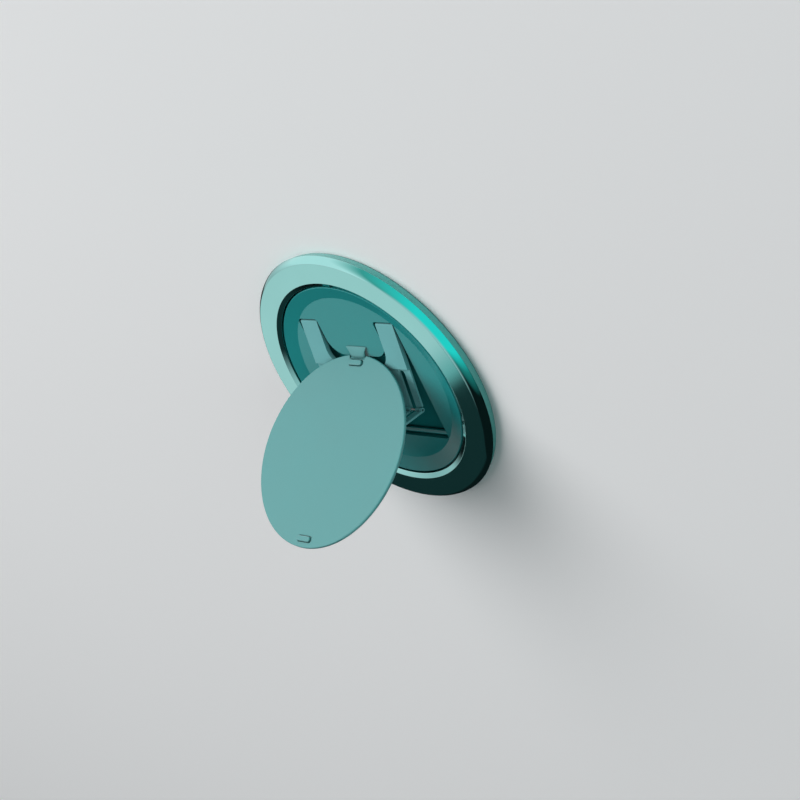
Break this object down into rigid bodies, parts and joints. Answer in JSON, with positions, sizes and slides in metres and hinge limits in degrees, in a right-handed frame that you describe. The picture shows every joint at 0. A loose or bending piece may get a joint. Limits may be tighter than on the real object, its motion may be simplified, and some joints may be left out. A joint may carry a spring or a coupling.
{
  "type": "phone grip",
  "caption": "Thin magnetic phone grip: a bevelled metal ring round a turning dish, from which a folding double-hinged arm lifts a tilted disc to hold or prop up a phone",
  "frame": {"origin": "on the ring's axis, at the face of the grip pad that meets the phone's back", "axes": "+Z out of the phone's back, X along the hinge pins, +Y from the middle towards the arms' base hinge"},
  "size_m": [0.0575, 0.0574, 0.0343],
  "materials": {
    "pad_silicone": "matt moulded silicone",
    "shell_plastic": "satin moulded",
    "dish_plastic": "satin moulded",
    "arm_metal": "satin lacquer on stamped steel",
    "disc_plastic": "satin moulded",
    "bezel_metal": "satin anodised, teal",
    "glide_plastic": "slippery sheet",
    "magnet_nickel": "nickel plated",
    "spring_steel": "bright drawn"
  },
  "bodies": {
    "base": {"grip_pad": "pad_silicone", "base_tray": "shell_plastic", "magnet_segments": "magnet_nickel", "flux_ring": "spring_steel", "bezel_ring": "bezel_metal", "lower_glide_ring": "glide_plastic", "upper_glide_ring": "glide_plastic"},
    "spinner": {"dish": "dish_plastic", "dish_cover": "dish_plastic", "cover_screws": "spring_steel", "arm_pin_left": "spring_steel", "arm_pin_right": "spring_steel", "closure_magnets": "magnet_nickel"},
    "arm": {"arm_frame": "arm_metal", "elbow_pin": "spring_steel"},
    "link": {"lift_link": "arm_metal", "disc_pin": "spring_steel"},
    "disc": {"disc_cover": "disc_plastic", "disc_back": "disc_plastic", "closure_keepers": "spring_steel"}
  },
  "joints": [
    {"name": "dish_spin", "type": "hinge", "parent": "base", "child": "spinner", "pos_m": [0, 0, 0], "axis": [0, 0, 1], "continuous": true},
    {"name": "arm_hinge", "type": "hinge", "parent": "spinner", "child": "arm", "pos_m": [0, 0.01301, 0.0015], "axis": [1, 0, 0], "range_deg": [0, 9.01]},
    {"name": "link_hinge", "type": "hinge", "parent": "arm", "child": "link", "pos_m": [0, -0.00477, 0.00432], "axis": [1, 0, 0], "range_deg": [-91.5, 0]},
    {"name": "disc_hinge", "type": "hinge", "parent": "link", "child": "disc", "pos_m": [0, -0.00356, 0.01378], "axis": [1, 0, 0], "range_deg": [0, 137.6]}
  ],
  "couplings": [
    {"joint": "arm_hinge", "follows": "disc_hinge", "ratio": 0.065407},
    {"joint": "link_hinge", "follows": "disc_hinge", "ratio": -0.66424}
  ]
}
